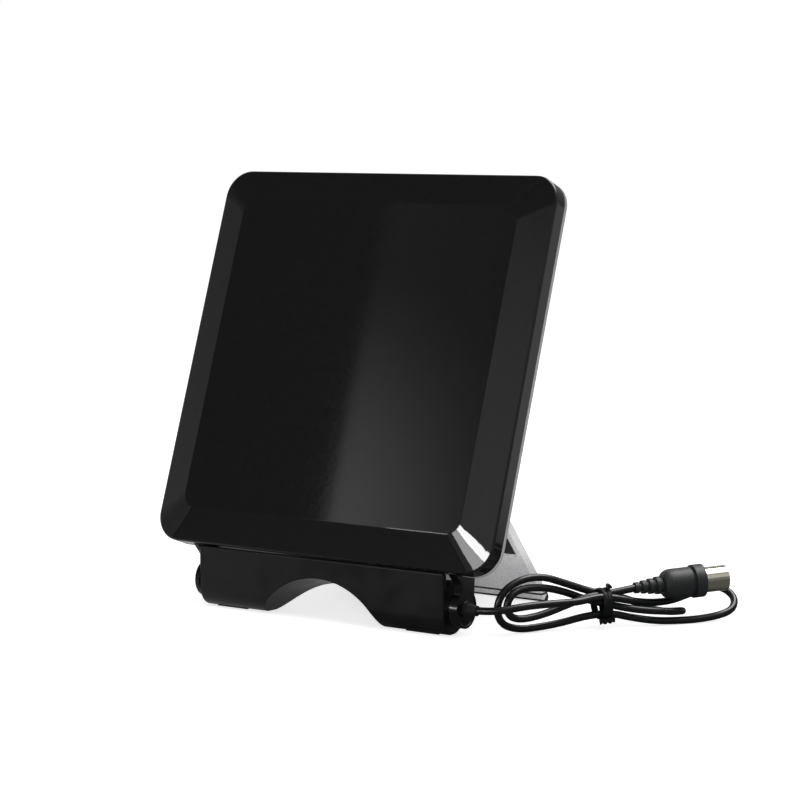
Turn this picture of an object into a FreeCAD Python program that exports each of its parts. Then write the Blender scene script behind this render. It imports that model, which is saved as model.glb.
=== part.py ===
"""Indoor flat-panel TV antenna: a square panel that tilts on a foot bar, with a folding prop leg.

Millimetres, +Z up, the panel faces -Y. The origin is on the table, in the middle of the stance.
"""
import math
import os

import FreeCAD
import Part

V = FreeCAD.Vector
AXIS_X = V(1, 0, 0)
AXIS_Y = V(0, 1, 0)
AXIS_Z = V(0, 0, 1)

# Panel
PANEL_W = 150.0
PANEL_H = 150.0
LEAN_DEG = 20.2
PANEL_CORNER_R = 10.5
BEVEL_W = 13.0
FRONT_RISE = 3.75
FRONT_SIDE = 6.6
REAR_SIDE = 1.7
REAR_RISE = 4.0
PLATEAU_CORNER_R = 5.6
COVER_WALL = 2.0
RIM_FILLET = 0.8
TONGUE_DEPTH = 1.8
TONGUE_WALL = 1.2
TONGUE_GAP = 0.15
LEDGE_T = 1.0
COVER_SCREW_INSET = 18.0
COVER_SCREW_LOW = 20.0
COVER_SCREW_R = 1.3
COVER_SCREW_HEAD_R = 2.6
COVER_SCREW_HEAD_H = 1.4
COVER_SCREW_SINK = 1.8
COVER_BOSS_R = 3.6
SCREW_HOLE_GAP = 0.15
THREAD_BITE = 6.0

# Stance and foot bar
STANCE = 83.0
FOOT_LENGTH = 110.0
BARREL_R = 10.0
BARREL_FLAT = 0.25
FOOT_WALL = 2.0
FOOT_END_WALL = 4.0
FOOT_END_CHAMFER = 0.5
FACE_TOLERANCE = 1e-6
PLATE_FACE = 7.35
PLATE_T = 2.4
PLATE_GAP = 0.25
PLATE_FILLET = 0.7
ARCH_R = 31.5
ARCH_TOP = 16.3
ARCH_FOOT_FILLET = 3.0
ARCH_SLOPE = 0.27
PAD_L = 14.0
PAD_W = 5.0
PAD_T = 1.6
PAD_INSET = 12.0
FOOT_SCREW_INSET = 24.0
FOOT_SCREW_Z = 15.2
FOOT_BOSS_R = 2.6
FOOT_SCREW_R = 1.1
FOOT_SCREW_HEAD_R = 2.0
FOOT_SCREW_HEAD_H = 1.4
FOOT_SCREW_BITE = 5.0

# Tilt hinge, placed from the panel's lower front edge
TILT_DEPTH = 14.2
TILT_DROP = 11.0
TRUNNION_R = 3.5
TRUNNION_L = 10.0
TILT_CLEARANCE = 0.05
KNUCKLE_R = 7.0
KNUCKLE_RIM = 1.0
KNUCKLE_DISH = 0.25
ARM_T = 3.5
SPACER_T = 1.8
LEFT_ARM_T = 1.9
LEFT_SPACER_T = 0.4
SPACER_R = 4.2
SPACER_GAP = 0.1
ARM_NECK_FRONT = 3.7
ARM_NECK_REAR = 5.4
ARM_NECK_STEP = 9.7
ARM_PAD_L = 14.0
ARM_PAD_W = 8.0
ARM_PAD_T = 2.4
ARM_PAD_START = 2.6
ARM_SCREW_R = 1.1
ARM_SCREW_HEAD_R = 2.0
ARM_SCREW_HEAD_H = 1.2
ARM_SCREW_L = 3.4
ARM_SEAT_GAP = 0.1
CHANNEL_FLOOR = 0.6

# Prop leg
LEG_W = 107.0
LEG_T = 3.6
LEG_SKIN = 1.6
LEG_SIDE_WALL = 2.2
LEG_BAND = 27.0
LEG_ROOT_BAR = 8.0
LEG_STANDOFF = 3.8
LEG_PIVOT_H = 42.0
LEG_PIN_R = 1.0
LEG_PIN_CLEARANCE = 0.05
LEG_LUG_X = 24.0
LEG_LUG_T = 6.0
LEG_LUG_R = 2.5
LEG_LUG_GAP = 0.35
LEG_PIN_REACH = 8.0
LEG_STOP_X = 38.0
LEG_STOP_T = 3.0
LEG_STOP_L = 6.0
LEG_STOP_GAP = 0.2
INSERT_T = 1.2
INSERT_GAP = 0.15
TIP_L = 2.4

# Aerial inside the panel
BOARD_W = 100.0
BOARD_H = 90.0
BOARD_T = 1.2
BOARD_BACK_GAP = 3.75
BOARD_POST_R = 2.5
BOARD_PEG_R = 1.0
BOARD_PEG_GAP = 0.1
BOARD_POST_INSET = 6.0
FOIL_T = 0.3
FOIL_TIP = 3.0
FOIL_W = 36.0
FOIL_H = 66.0
TRANSFORMER_W = 14.0
TRANSFORMER_D = 6.0
TRANSFORMER_H = 12.0
CLIP_W = 4.0
CLIP_WALL = 0.8
CLIP_X = 28.0

# Coaxial cord and plug
CORD_D = 2.8
CORD_EXIT_R = 2.6
LEAD_DOWN_X = 38.0
LEAD_RISE = 20.3
LEAD_BEND_R = 7.0
LEAD_ENTRY_R = 3.6
LEAD_WAY_L = 24.0
ELBOW_GAP = 0.9
CORD_JOIN_GAP = 0.1
CORD_RUN_SHARE = 0.45
CORD_STRAIGHT = 10.0
GROMMET_R = 3.0
GROMMET_T = 0.8
SLEEVE_L = 4.6
SLEEVE_BASE_R = 2.4
SLEEVE_TIP_R = 1.9
SLEEVE_GAP = 0.12
GROMMET_GAP = 0.3
HANK_ASIDE = 35.4
HANK_BEHIND = 42.0
HANK_AZIMUTH = 49.7
HANK_T = 8.4
HANK_WAIST_LOW = 2.2
HANK_WAIST_HIGH = 13.0
TIE_L = 3.0
TIE_WALL = 0.8
PLUG_START = 10.0
PLUG_Z = 14.3
PLUG_RISE_DEG = 3.0
RELIEF_L = 11.0
RELIEF_R_SMALL = 2.1
RELIEF_R_LARGE = 3.3
RELIEF_RIBS = 4
PLUG_BODY_L = 16.0
PLUG_BODY_R = 5.6
PLUG_FLANGE_R = 6.2
PLUG_FLANGE_L = 4.0
PLUG_SHELL_R = 4.75
PLUG_SHELL_WALL = 0.45
PLUG_SHELL_L = 9.5
PLUG_SHELL_SEAT = 3.0
PLUG_SEAT_R = 4.35
PLUG_NECK_L = 0.3
PLUG_SHOULDER_L = 3.7
PLUG_SHOULDER_R = 3.5
PLUG_SHOULDER_STEPS = 5
PLUG_GROOVE_L = 1.0
PLUG_GROOVE_DEPTH = 0.6
RELIEF_RIB_SHARE = 0.55
PLUG_PIN_R = 1.15
PLUG_PIN_L = 8.5
PLUG_INSULATOR_L = 3.0

# Worked out from the sizes above
LEAN = math.radians(LEAN_DEG)
PANEL_IN = V(0, math.cos(LEAN), -math.sin(LEAN))
PANEL_UP = V(0, math.sin(LEAN), math.cos(LEAN))
TILT_AHEAD = TILT_DEPTH * math.cos(LEAN) - TILT_DROP * math.sin(LEAN)
TILT_AXIS = V(0, TILT_AHEAD - STANCE / 2, BARREL_R)
PANEL_EDGE = TILT_AXIS - PANEL_IN * TILT_DEPTH + PANEL_UP * TILT_DROP
REAR_EDGE = FRONT_SIDE + REAR_SIDE
BACK = REAR_EDGE + REAR_RISE
FRONT_INSIDE = COVER_WALL - FRONT_RISE
BACK_INSIDE = BACK - COVER_WALL
LEG_PIVOT_D = BACK + LEG_STANDOFF
LEG_PIVOT = PANEL_EDGE + PANEL_IN * LEG_PIVOT_D + PANEL_UP * LEG_PIVOT_H
LEG_R = LEG_T / 2
LEG_TIP_CENTRE = V(0, STANCE / 2 - LEG_R, LEG_R)
LEG_LENGTH = (LEG_TIP_CENTRE - LEG_PIVOT).Length
LEG_PITCH = math.atan2(LEG_TIP_CENTRE.z - LEG_PIVOT.z, LEG_TIP_CENTRE.y - LEG_PIVOT.y)
LEG_FOLD_DEG = 90 - LEAN_DEG - math.degrees(LEG_PITCH)
FOOT_END = FOOT_LENGTH / 2
PLATE_TOP_AHEAD = TILT_AXIS.z + (TILT_DROP - PLATE_GAP + PLATE_FACE * math.sin(LEAN)) / math.cos(LEAN)
PLATE_TOP_BEHIND = PLATE_TOP_AHEAD - PLATE_T * math.tan(LEAN)
ARM_INNER = FOOT_END + SPACER_T + 2 * SPACER_GAP
ARM_OUTER = ARM_INNER + ARM_T
LEFT_INNER = FOOT_END + LEFT_SPACER_T + 2 * SPACER_GAP
LEFT_OUTER = LEFT_INNER + LEFT_ARM_T
BOARD_FRONT = FRONT_INSIDE + BOARD_BACK_GAP
BOARD_REAR = BOARD_FRONT + BOARD_T
BOARD_MID_H = PANEL_H / 2
CORD_R = CORD_D / 2
CHANNEL_X = ARM_OUTER - CHANNEL_FLOOR
LEAD_X = CHANNEL_X - CORD_R - SPACER_GAP
CORD_START_X = LEAD_X + CORD_EXIT_R
CORD_EXIT = V(CORD_START_X + CORD_JOIN_GAP, TILT_AXIS.y, TILT_AXIS.z)
HANK_PLACE = V(CORD_EXIT.x + HANK_ASIDE, CORD_EXIT.y + HANK_BEHIND, 0)
COVER_SCREW_X = PANEL_W / 2 - COVER_SCREW_INSET


def rounded_rectangle(width, low, high, radius, depth, inset=0.0):
    """Closed wire at one depth of the panel's own frame: X across, Y depth, Z up the panel."""
    x = width / 2 - inset
    z0 = low + inset
    z1 = high - inset
    r = radius
    s = r * math.sqrt(0.5)
    edges = []
    corners = [(x - r, z0 + r, 1, -1), (x - r, z1 - r, 1, 1)]
    corners += [(-x + r, z1 - r, -1, 1), (-x + r, z0 + r, -1, -1)]
    starts = []
    ends = []
    for cx, cz, sx, sz in corners:
        side = V(cx + sx * r, depth, cz)
        flat = V(cx, depth, cz + sz * r)
        middle = V(cx + sx * s, depth, cz + sz * s)
        first, last = (flat, side) if sx * sz < 0 else (side, flat)
        starts.append(first)
        ends.append(last)
        edges.append(Part.Arc(first, middle, last).toShape())
    for i in range(4):
        edges.append(Part.LineSegment(ends[i], starts[(i + 1) % 4]).toShape())
    return Part.Wire(Part.__sortEdges__(edges))


def panel_outline(depth, inset=0.0):
    """Panel's outer outline, or its offset inwards, at one depth."""
    return rounded_rectangle(PANEL_W, 0, PANEL_H, PANEL_CORNER_R - inset, depth, inset)


def plateau_outline(depth):
    """Outline of the raised middle at one depth."""
    return rounded_rectangle(PANEL_W, 0, PANEL_H, PLATEAU_CORNER_R, depth, BEVEL_W)


def prism(wire, depth):
    """Solid from a closed wire, drawn out along the panel's depth."""
    return Part.Face(wire).extrude(V(0, depth, 0))


def rod(radius, start, direction, length):
    """Round solid from a point along a direction."""
    return Part.makeCylinder(radius, length, start, direction)


def block(x0, x1, y0, y1, z0, z1):
    """Box between six planes."""
    return Part.makeBox(x1 - x0, y1 - y0, z1 - z0, V(x0, y0, z0))


def side_profile(points, x0, x1):
    """Solid from a polygon in the YZ plane, drawn out from x0 to x1."""
    wire = Part.makePolygon([V(x0, y, z) for y, z in points + points[:1]])
    return Part.Face(wire).extrude(V(x1 - x0, 0, 0))


def mirrored(shape):
    """Copy of a right-hand piece for the left side."""
    return shape.mirror(V(0, 0, 0), AXIS_X)


def seat_panel(shape):
    """Move a piece from the panel's own frame to its leaning place."""
    placed = shape.copy()
    placed.rotate(V(0, 0, 0), AXIS_X, -LEAN_DEG)
    placed.translate(PANEL_EDGE)
    return placed


def seat_leg(shape):
    """Move a piece from the leg's own frame (pivot at zero, Y along the leg) to its open place."""
    placed = shape.copy()
    placed.rotate(V(0, 0, 0), AXIS_X, math.degrees(LEG_PITCH))
    placed.translate(LEG_PIVOT)
    return placed


def save(name, shape):
    """Write one node."""
    shape.removeSplitter().exportStep("parts/%s.step" % name)


def cover_screw_places():
    """The four cover screws, as X and height on the panel."""
    heights = (COVER_SCREW_LOW, PANEL_H - COVER_SCREW_LOW)
    return [(x, h) for x in (-COVER_SCREW_X, COVER_SCREW_X) for h in heights]


def board_post_places():
    """The four board posts, as X and height on the panel."""
    x = BOARD_W / 2 - BOARD_POST_INSET
    z = BOARD_H / 2 - BOARD_POST_INSET
    return [(sx * x, BOARD_MID_H + sz * z) for sx in (-1, 1) for sz in (-1, 1)]


def front_cover():
    """Front housing: straight sides, bevel and raised middle, hollow behind."""
    sides = prism(panel_outline(0), FRONT_SIDE)
    crown = Part.makeLoft([panel_outline(0), plateau_outline(-FRONT_RISE)], True, True)
    outer = sides.fuse(crown).removeSplitter()
    inner = outer.copy()
    inner.translate(V(0, COVER_WALL, 0))
    inner = inner.common(prism(panel_outline(-FRONT_RISE, COVER_WALL), FRONT_RISE + FRONT_SIDE))
    shell = outer.cut(inner)
    rim = [e for e in shell.Edges if abs(e.BoundBox.YMin) < 1e-6 and abs(e.BoundBox.YMax) < 1e-6]
    shell = shell.makeFillet(RIM_FILLET, rim)
    for x, h in cover_screw_places():
        boss = rod(COVER_BOSS_R, V(x, FRONT_INSIDE, h), AXIS_Y, FRONT_SIDE - FRONT_INSIDE)
        pilot = rod(COVER_SCREW_R, V(x, FRONT_SIDE - THREAD_BITE, h), AXIS_Y, THREAD_BITE)
        shell = shell.fuse(boss).cut(pilot)
    for x, h in board_post_places():
        post = rod(BOARD_POST_R, V(x, FRONT_INSIDE, h), AXIS_Y, BOARD_BACK_GAP)
        peg = rod(BOARD_PEG_R, V(x, BOARD_FRONT, h), AXIS_Y, BOARD_T + BOARD_PEG_R)
        shell = shell.fuse(post).fuse(peg)
    return seat_panel(shell)


def leg_lug(x):
    """Lug on the back that holds a leg pin, rounded about the pivot."""
    stem = block(x - LEG_LUG_T / 2, x + LEG_LUG_T / 2, BACK_INSIDE, LEG_PIVOT_D,
                 LEG_PIVOT_H - LEG_LUG_R, LEG_PIVOT_H + LEG_LUG_R)
    eye = rod(LEG_LUG_R, V(x - LEG_LUG_T / 2, LEG_PIVOT_D, LEG_PIVOT_H), AXIS_X, LEG_LUG_T)
    hole = rod(LEG_PIN_R, V(x - LEG_LUG_T / 2, LEG_PIVOT_D, LEG_PIVOT_H), AXIS_X, LEG_LUG_T)
    return stem.fuse(eye), hole


def leg_stop(x):
    """Gusset on the back whose upper edge catches the open leg's inner face."""
    swing = LEG_PITCH + LEAN
    along = (math.cos(swing), math.sin(swing))
    off = LEG_R + LEG_STOP_GAP
    base = (LEG_PIVOT_D + along[1] * off, LEG_PIVOT_H - along[0] * off)
    to_back = (BACK - base[0]) / along[0]
    root = (BACK, base[1] + along[1] * to_back)
    nose = (base[0] + along[0] * LEG_STOP_L, base[1] + along[1] * LEG_STOP_L)
    heel = (BACK, root[1] - (nose[0] - BACK) - LEG_STOP_L / 2)
    sunk = BACK_INSIDE
    points = [(sunk, root[1]), root, nose, heel, (sunk, heel[1])]
    return side_profile(points, x - LEG_STOP_T / 2, x + LEG_STOP_T / 2)


def bevel_frame():
    """Start point, direction and outward normal of the back's lower bevel, in the panel's frame."""
    length = math.hypot(REAR_RISE, BEVEL_W)
    along = V(0, REAR_RISE / length, BEVEL_W / length)
    outward = V(0, BEVEL_W / length, -REAR_RISE / length)
    return V(0, REAR_EDGE, 0), along, outward


def arm_screw_places(inner):
    """Two screw places on an arm's pad, on the bevel's outer face, from the arm's inner X."""
    start, along, _ = bevel_frame()
    middle = start + along * (ARM_PAD_START + ARM_PAD_W / 2)
    step = ARM_PAD_L / 4
    centre_x = inner - ARM_PAD_L / 2
    return [middle + V(centre_x - step, 0, 0), middle + V(centre_x + step, 0, 0)]


def lead_hole():
    """Clear way for the lead through the bevel, straight up from the tilt axis."""
    start = V(LEAD_X, TILT_DEPTH, -TILT_DROP)
    upright = V(0, -math.sin(LEAN), math.cos(LEAN))
    return rod(CORD_R + GROMMET_GAP, start, upright, LEAD_WAY_L)


def rear_cover():
    """Rear housing: straight sides, bevel and raised back, with lugs, stops and screw pillars."""
    sides = prism(panel_outline(FRONT_SIDE), REAR_SIDE)
    crown = Part.makeLoft([panel_outline(REAR_EDGE), plateau_outline(BACK)], True, True)
    outer = sides.fuse(crown).removeSplitter()
    inner = outer.copy()
    inner.translate(V(0, -COVER_WALL, 0))
    inner = inner.common(prism(panel_outline(FRONT_SIDE, COVER_WALL), BACK - FRONT_SIDE))
    shell = outer.cut(inner)
    tongue_inset = COVER_WALL + TONGUE_GAP
    tongue_inner = tongue_inset + TONGUE_WALL
    tongue_y = FRONT_SIDE - TONGUE_DEPTH
    tongue_l = TONGUE_DEPTH + LEDGE_T
    tongue = prism(panel_outline(tongue_y, tongue_inset), tongue_l)
    tongue = tongue.cut(prism(panel_outline(tongue_y, tongue_inner), tongue_l))
    ledge = prism(panel_outline(FRONT_SIDE, COVER_WALL / 2), LEDGE_T)
    ledge = ledge.cut(prism(panel_outline(FRONT_SIDE, tongue_inner), LEDGE_T))
    shell = shell.fuse(tongue).fuse(ledge)
    for x, h in cover_screw_places():
        pillar = rod(COVER_BOSS_R, V(x, FRONT_SIDE, h), AXIS_Y, BACK_INSIDE - FRONT_SIDE + COVER_WALL / 2)
        hole = rod(COVER_SCREW_R + SCREW_HOLE_GAP, V(x, FRONT_SIDE, h), AXIS_Y, BACK)
        head_r = COVER_SCREW_HEAD_R + SCREW_HOLE_GAP
        sink = rod(head_r, V(x, BACK - COVER_SCREW_SINK, h), AXIS_Y, COVER_SCREW_SINK)
        shell = shell.fuse(pillar).cut(hole).cut(sink)
    for x in (-LEG_LUG_X, LEG_LUG_X):
        lug, hole = leg_lug(x)
        shell = shell.fuse(lug).cut(hole)
    for x in (-LEG_STOP_X, LEG_STOP_X):
        shell = shell.fuse(leg_stop(x))
    _, _, outward = bevel_frame()
    for place in arm_screw_places(ARM_INNER):
        shell = shell.cut(rod(ARM_SCREW_R, place - outward * ARM_SCREW_L, outward, ARM_SCREW_L))
    for place in arm_screw_places(LEFT_INNER):
        shell = shell.cut(mirrored(rod(ARM_SCREW_R, place - outward * ARM_SCREW_L, outward, ARM_SCREW_L)))
    shell = shell.cut(lead_hole())
    return seat_panel(shell)


def cover_screws():
    """Four countersunk-in screws that hold the covers together."""
    solids = []
    for x, h in cover_screw_places():
        top = BACK - COVER_SCREW_SINK
        head = rod(COVER_SCREW_HEAD_R, V(x, top, h), AXIS_Y, COVER_SCREW_HEAD_H)
        shank_start = FRONT_SIDE - THREAD_BITE
        shank = rod(COVER_SCREW_R, V(x, shank_start, h), AXIS_Y, top - shank_start)
        solids.append(seat_panel(head.fuse(shank)))
    return Part.makeCompound(solids)


def hinge_arm(inner, outer, spacer_t):
    """Arm of the right side: plate from the bevel down to a dished knuckle, with a pad and a trunnion."""
    axis = V(0, TILT_DEPTH, -TILT_DROP)
    out = V(0, math.cos(LEAN), math.sin(LEAN))
    upright = V(0, -math.sin(LEAN), math.cos(LEAN))

    def at(back, up):
        point = axis + out * back + upright * up
        return (point.y, point.z)

    start, along, outward = bevel_frame()
    under = -ARM_SEAT_GAP
    pad_end = ARM_PAD_START + ARM_PAD_W
    top = start + along * pad_end
    front = (COVER_WALL, under)
    points = [front, (start.y, under), (start.y, start.z), (top.y, top.z)]
    rear_top = top + outward * ARM_PAD_T
    points += [(rear_top.y, rear_top.z), at(ARM_NECK_REAR, KNUCKLE_R), at(ARM_NECK_REAR, 0)]
    points += [at(-ARM_NECK_FRONT, 0), at(-ARM_NECK_FRONT, ARM_NECK_STEP)]
    plate = side_profile(points, inner, outer)
    knuckle = rod(KNUCKLE_R, V(inner, axis.y, axis.z), AXIS_X, outer - inner)
    pad_points = []
    for t, lift in ((ARM_PAD_START, 0), (pad_end, 0), (pad_end, ARM_PAD_T), (ARM_PAD_START, ARM_PAD_T)):
        p = start + along * t + outward * lift
        pad_points.append((p.y, p.z))
    pad = side_profile(pad_points, inner - ARM_PAD_L, inner)
    reach = spacer_t + TRUNNION_L
    trunnion = rod(TRUNNION_R, V(inner - reach, axis.y, axis.z), AXIS_X, reach)
    arm = plate.fuse(knuckle).fuse(pad).fuse(trunnion)
    dish_base = V(outer - KNUCKLE_DISH, axis.y, axis.z)
    dish = rod(KNUCKLE_R - KNUCKLE_RIM, dish_base, AXIS_X, KNUCKLE_DISH)
    arm = arm.cut(dish.cut(rod(GROMMET_R, dish_base, AXIS_X, KNUCKLE_DISH)))
    for place in arm_screw_places(inner):
        hole = rod(ARM_SCREW_R + SCREW_HOLE_GAP, place, outward, ARM_PAD_T)
        arm = arm.cut(hole)
    return arm


def arm_channel():
    """Channel for the lead in the right arm, with the hole in the knuckle's outer face."""
    axis = V(0, TILT_DEPTH, -TILT_DROP)
    r = CORD_R + SPACER_GAP
    run = rod(r, V(LEAD_X, axis.y, axis.z), V(0, -math.sin(LEAN), math.cos(LEAN)), LEAD_WAY_L)
    elbow = rod(r + ELBOW_GAP, V(LEAD_X - r, axis.y, axis.z), AXIS_X, ARM_OUTER - LEAD_X + r)
    return run.fuse(elbow)


def arm_screws():
    """Pan-head screws through both arm pads into the rear cover."""
    _, _, outward = bevel_frame()
    solids = []
    length = ARM_SCREW_L + ARM_PAD_T
    for inner in (ARM_INNER, LEFT_INNER):
        for place in arm_screw_places(inner):
            head = rod(ARM_SCREW_HEAD_R, place + outward * ARM_PAD_T, outward, ARM_SCREW_HEAD_H)
            shank = rod(ARM_SCREW_R, place - outward * ARM_SCREW_L, outward, length)
            screw = head.fuse(shank)
            solids.append(seat_panel(screw if inner == ARM_INNER else mirrored(screw)))
    return Part.makeCompound(solids)


def antenna_board():
    """Printed board on the front cover's posts."""
    low = BOARD_MID_H - BOARD_H / 2
    board = block(-BOARD_W / 2, BOARD_W / 2, BOARD_FRONT, BOARD_REAR, low, low + BOARD_H)
    for x, h in board_post_places():
        board = board.cut(rod(BOARD_PEG_R + BOARD_PEG_GAP, V(x, BOARD_FRONT, h), AXIS_Y, BOARD_T))
    return seat_panel(board)


def element_right():
    """One flared half of the bow-tie aerial, foil on the board's front face."""
    tip = FOIL_TIP
    end = FOIL_TIP + FOIL_W
    half_tip = TRANSFORMER_H / 4
    half_end = FOIL_H / 2
    corners = [(tip, -half_tip), (end, -half_end), (end, half_end), (tip, half_tip)]
    y = BOARD_FRONT - FOIL_T
    wire = Part.makePolygon([V(x, y, BOARD_MID_H + h) for x, h in corners + corners[:1]])
    return prism(wire, FOIL_T)


def matching_transformer():
    """Ferrite matching transformer on the board's rear face."""
    half = TRANSFORMER_W / 2
    low = BOARD_MID_H - TRANSFORMER_H / 2
    box = block(-half, half, BOARD_REAR, BOARD_REAR + TRANSFORMER_D, low, low + TRANSFORMER_H)
    return seat_panel(box)


def lead_clip():
    """Folded clip that holds the lead on the board."""
    y0 = BOARD_REAR
    y1 = BOARD_REAR + CORD_D + SPACER_GAP
    half = CORD_R + SPACER_GAP + CLIP_WALL
    z = BOARD_MID_H
    outer = block(CLIP_X, CLIP_X + CLIP_W, y0, y1 + CLIP_WALL, z - half, z + half)
    inner = block(CLIP_X, CLIP_X + CLIP_W, y0, y1, z - half + CLIP_WALL, z + half - CLIP_WALL)
    return seat_panel(outer.cut(inner))


def tube(points, radii, radius):
    """Round tube along straight runs joined by tangent arcs of the given radii."""
    edges = []
    start = points[0]
    for i in range(1, len(points) - 1):
        before = (points[i - 1] - points[i]).normalize()
        after = (points[i + 1] - points[i]).normalize()
        turn = math.pi - before.getAngle(after)
        cut_back = radii[i - 1] * math.tan(turn / 2)
        arc_in = points[i] + before * cut_back
        arc_out = points[i] + after * cut_back
        bisector = (before + after).normalize()
        reach = radii[i - 1] / math.cos(turn / 2) - radii[i - 1]
        if (arc_in - start).Length > 1e-4:
            edges.append(Part.LineSegment(start, arc_in).toShape())
        edges.append(Part.Arc(arc_in, points[i] + bisector * reach, arc_out).toShape())
        start = arc_out
    if (points[-1] - start).Length > 1e-4:
        edges.append(Part.LineSegment(start, points[-1]).toShape())
    path = Part.Wire(edges)
    first = points[1] - points[0]
    ring = Part.Wire(Part.makeCircle(radius, points[0], first))
    solid = path.makePipeShell([ring], True, True)
    expected = math.pi * radius ** 2 * path.Length
    print("tube length %.1f, volume %.1f, section times length %.1f" % (path.Length, solid.Volume, expected))
    return solid


def panel_lead():
    """Lead from the transformer, through the clip, down the right arm and out along the tilt axis."""
    lead_y = BOARD_REAR + CORD_R + SPACER_GAP / 2
    axis = V(LEAD_X, TILT_DEPTH, -TILT_DROP)
    upright = V(0, -math.sin(LEAN), math.cos(LEAN))
    bend_up = axis + upright * LEAD_RISE
    points = [V(TRANSFORMER_W / 2, lead_y, BOARD_MID_H), V(LEAD_DOWN_X, lead_y, BOARD_MID_H),
              V(LEAD_DOWN_X, lead_y, 2 * bend_up.z), bend_up, axis, axis + AXIS_X * CORD_EXIT_R]
    radii = [LEAD_BEND_R, LEAD_BEND_R, LEAD_ENTRY_R, CORD_EXIT_R]
    return seat_panel(tube(points, radii, CORD_R))


def cord_grommet():
    """Flanged, tapered sleeve on the right knuckle where the cord leaves it."""
    base = V(ARM_OUTER, TILT_AXIS.y, TILT_AXIS.z)
    ring = rod(GROMMET_R, base, AXIS_X, GROMMET_T)
    sleeve = Part.makeCone(SLEEVE_BASE_R, SLEEVE_TIP_R, SLEEVE_L, base, AXIS_X)
    return ring.fuse(sleeve).cut(rod(CORD_R + SLEEVE_GAP, base, AXIS_X, SLEEVE_L))


def leg_pins():
    """Two steel pins, each through a lug into the leg's root."""
    solids = []
    for side in (-1, 1):
        x = side * LEG_LUG_X - LEG_LUG_T / 2
        if side < 0:
            pin = rod(LEG_PIN_R, V(x, 0, 0), AXIS_X, LEG_LUG_T + LEG_PIN_REACH)
        else:
            pin = rod(LEG_PIN_R, V(x - LEG_PIN_REACH, 0, 0), AXIS_X, LEG_LUG_T + LEG_PIN_REACH)
        pin.translate(LEG_PIVOT)
        solids.append(pin)
    return Part.makeCompound(solids)


def foot_bar(length, inset):
    """Form of the foot bar, flat in front and rounded under, drawn in by an inset for its hollow."""
    radius = BARREL_R - inset
    face = PLATE_FACE - inset
    x = length / 2
    y = TILT_AXIS.y
    barrel = rod(radius, V(-x, y, BARREL_R), AXIS_X, length)
    barrel = barrel.cut(block(-x, x, y - BARREL_R, y, 0, BARREL_R))
    barrel = barrel.cut(block(-x, x, y - BARREL_R, y - face, 0, 2 * BARREL_R))
    nose = rod(face, V(-x, y, PLATE_FACE), AXIS_X, length)
    front = block(-x, x, y - face, y, PLATE_FACE, BARREL_R)
    return barrel.fuse(nose).fuse(front).removeSplitter()


def foot_body():
    """Whole foot bar before it is split: bar, upright plate and arch."""
    front = TILT_AXIS.y - PLATE_FACE
    behind = front + PLATE_T
    points = [(front, BARREL_R), (behind, BARREL_R), (behind, PLATE_TOP_BEHIND), (front, PLATE_TOP_AHEAD)]
    plate = side_profile(points, -FOOT_END, FOOT_END)
    long_edges = [e for e in plate.Edges if e.BoundBox.XLength > FOOT_END]
    upper = [e for e in long_edges if e.BoundBox.ZMin > PLATE_TOP_BEHIND - FACE_TOLERANCE]
    plate = plate.makeFillet(PLATE_FILLET, upper)
    body = foot_bar(FOOT_LENGTH, 0.0).fuse(plate).removeSplitter()
    flat_edges = [e for e in body.Edges if e.BoundBox.XLength < FACE_TOLERANCE]
    ends = [e for e in flat_edges if abs(e.BoundBox.XMin) > FOOT_END - FACE_TOLERANCE]
    body = body.makeChamfer(FOOT_END_CHAMFER, ends)
    body = body.cut(block(-FOOT_END, FOOT_END, -STANCE, STANCE, 0, BARREL_FLAT))
    return body.cut(arch_cut(0.0))


def arch_cut(margin):
    """Arch through the foot bar, with rounded feet, falling to the back; a margin widens it for the walls."""
    depth = 4 * BARREL_R
    ahead = depth / 2 - PLATE_FACE
    y0 = TILT_AXIS.y - depth / 2
    centre_z = ARCH_TOP - ARCH_R
    r = ARCH_R + margin
    fillet = ARCH_FOOT_FILLET - margin
    floor = BARREL_FLAT - margin
    foot_z = floor + fillet
    foot_x = math.sqrt((r + fillet) ** 2 - (foot_z - centre_z) ** 2)
    touch = V(foot_x * r / (r + fillet), y0, centre_z + (foot_z - centre_z) * r / (r + fillet))
    low = V(foot_x, y0, floor)
    turn = math.atan2(foot_z - touch.z, foot_x - touch.x) / 2 + math.pi / 4
    middle = V(foot_x - fillet * math.cos(turn), y0, foot_z - fillet * math.sin(turn))

    def left(point):
        return V(-point.x, point.y, point.z)

    edges = [Part.Arc(left(touch), V(0, y0, centre_z + r), touch).toShape(),
             Part.Arc(touch, middle, low).toShape(),
             Part.Arc(left(touch), left(middle), left(low)).toShape(),
             Part.LineSegment(low, V(foot_x, y0, -BARREL_R)).toShape(),
             Part.LineSegment(left(low), V(-foot_x, y0, -BARREL_R)).toShape(),
             Part.LineSegment(V(foot_x, y0, -BARREL_R), V(-foot_x, y0, -BARREL_R)).toShape()]
    face = Part.Face(Part.Wire(Part.__sortEdges__(edges)))
    face.translate(V(0, 0, ahead * ARCH_SLOPE))
    return face.extrude(V(0, depth, -depth * ARCH_SLOPE))


def foot_chambers():
    """Hollow inside of the foot bar, one chamber at each end, less the bearing ribs."""
    length = FOOT_LENGTH - 2 * FOOT_END_WALL
    hollow = foot_bar(length, FOOT_WALL).cut(arch_cut(FOOT_WALL))
    floor = PAD_T + FOOT_WALL
    return hollow.cut(block(-FOOT_END, FOOT_END, -STANCE, STANCE, 0, floor))


def pad_block(side):
    """Rubber pad's block under one end of the foot bar."""
    x = side * (FOOT_END - PAD_INSET)
    y = TILT_AXIS.y
    return block(x - PAD_L / 2, x + PAD_L / 2, y - PAD_W / 2, y + PAD_W / 2, 0, PAD_T)


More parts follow.
